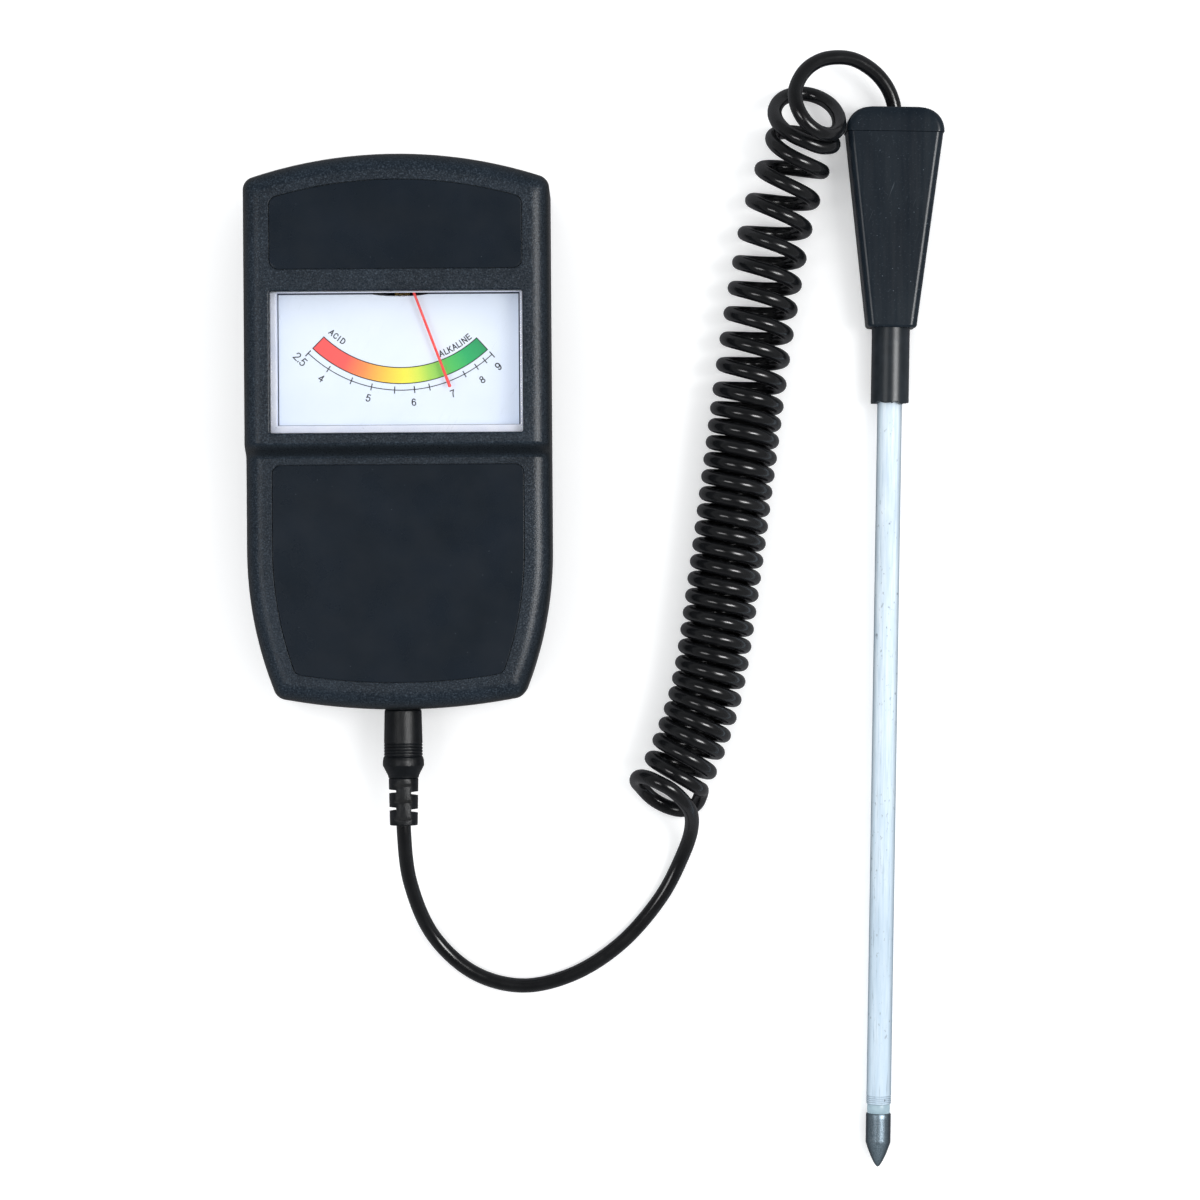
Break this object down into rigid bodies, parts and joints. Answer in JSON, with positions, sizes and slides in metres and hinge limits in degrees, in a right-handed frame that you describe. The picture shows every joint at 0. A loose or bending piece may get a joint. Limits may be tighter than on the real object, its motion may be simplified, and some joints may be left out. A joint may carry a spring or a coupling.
{
  "type": "analogue soil ph meter",
  "caption": "Hand-held analogue soil pH meter: a dial and pointer in a dark case, a plug-in coiled cord, and a probe with a tapered handle, long tube and pointed tip.",
  "frame": {"origin": "centre of the flat back of the meter's case, where the case rests on the ground", "axes": "+Z out of the dial; +Y towards the dial end of the case; +X towards the side where the cord and probe lie"},
  "size_m": [0.1924, 0.3099, 0.036],
  "materials": {
    "case_plastic": "moulded, fine spark-eroded texture, dark blue-black",
    "label_film": "smooth satin film, dark blue-black",
    "clear_plastic": "clear, polished",
    "white_plastic": "satin white with a cool cast",
    "dial_enamel": "matt white enamel, printed",
    "pointer_red": "satin red",
    "black_plastic": "satin black",
    "cord_pvc": "glossy black flexible PVC",
    "handle_plastic": "semi-gloss moulded plastic, dark blue-black",
    "tube_aluminium": "drawn tube, satin, lightly marked by soil",
    "ring_plastic": "satin pale aqua",
    "tip_metal": "dark turned metal",
    "steel": "bright zinc-plated",
    "brass": "satin",
    "copper": "enamelled copper wire",
    "former_aluminium": "thin rolled strip",
    "magnet": "sintered, dark grey",
    "red_wire": "insulation",
    "green_wire": "insulation"
  },
  "bodies": {
    "meter": {"front_case": "case_plastic", "rear_case": "case_plastic", "case_screw_1": "steel", "case_screw_2": "steel", "case_screw_3": "steel", "case_screw_4": "steel", "upper_label": "label_film", "lower_label": "label_film", "window_lens": "clear_plastic", "dial_surround": "white_plastic", "dial_plate": "dial_enamel", "dial_screw_left": "brass", "dial_screw_right": "brass", "movement_base": "black_plastic", "movement_screw_left": "steel", "movement_screw_right": "steel", "yoke_ring": "magnet", "core_magnet": "magnet", "core_bracket": "brass", "bearing_bridge": "black_plastic", "upper_jewel_screw": "brass", "lower_jewel_screw": "brass", "socket_body": "black_plastic", "socket_tip_contact": "brass", "socket_sleeve_lug": "brass", "meter_lead_red": "red_wire", "meter_lead_green": "green_wire"},
    "pointer_movement": {"pointer": "pointer_red", "balance_cross": "brass", "coil_winding": "copper", "coil_former": "former_aluminium", "upper_pivot": "steel", "lower_pivot": "steel", "upper_hairspring": "brass", "lower_hairspring": "brass"},
    "zero_lever": {"zero_adjuster": "brass"},
    "lead": {"cord_tail": "cord_pvc", "coil_cord": "cord_pvc"},
    "plug": {"plug_body": "black_plastic", "strain_relief": "black_plastic", "plug_sleeve": "steel", "plug_insulator": "black_plastic", "plug_tip": "steel"},
    "cord_top": {"cord_loop": "cord_pvc"},
    "probe": {"handle_body": "handle_plastic", "handle_cap": "handle_plastic", "collar_sleeve": "black_plastic", "probe_tube": "tube_aluminium", "insulator_ring": "ring_plastic", "tip_electrode": "tip_metal", "tip_conductor": "copper", "tube_clip": "brass", "cord_end": "cord_pvc"}
  },
  "joints": [
    {"name": "pointer_swing", "type": "hinge", "parent": "meter", "child": "pointer_movement", "pos_m": [0.0008, 0.048, 0], "axis": [0, 0, 1], "range_deg": [-66, 24], "stiffness_Nm_per_rad": 0.00002, "deforming": ["upper_hairspring", "lower_hairspring"]},
    {"name": "zero_adjust", "type": "hinge", "parent": "meter", "child": "zero_lever", "pos_m": [0.0008, 0.048, 0], "axis": [0, 0, 1], "range_deg": [-12, 12]},
    {"name": "plug_pull", "type": "slide", "parent": "meter", "child": "lead", "axis": [0, -1, 0], "range_m": [0, 0.03]},
    {"name": "plug_twist", "type": "hinge", "parent": "lead", "child": "plug", "pos_m": [0, -0.0758, 0.014], "axis": [0, 1, 0], "range_deg": [-180, 180]},
    {"name": "cord_stretch", "type": "slide", "parent": "lead", "child": "cord_top", "axis": [0.2051, 0.9787, 0], "range_m": [0, 0.3], "stiffness_N_per_m": 6, "deforming": ["coil_cord"]},
    {"name": "probe_swing", "type": "hinge", "parent": "cord_top", "child": "probe", "pos_m": [0.13739, 0.0899, 0.00725], "axis": [0, 0, 1], "range_deg": [0, 45], "deforming": ["cord_loop"]}
  ]
}
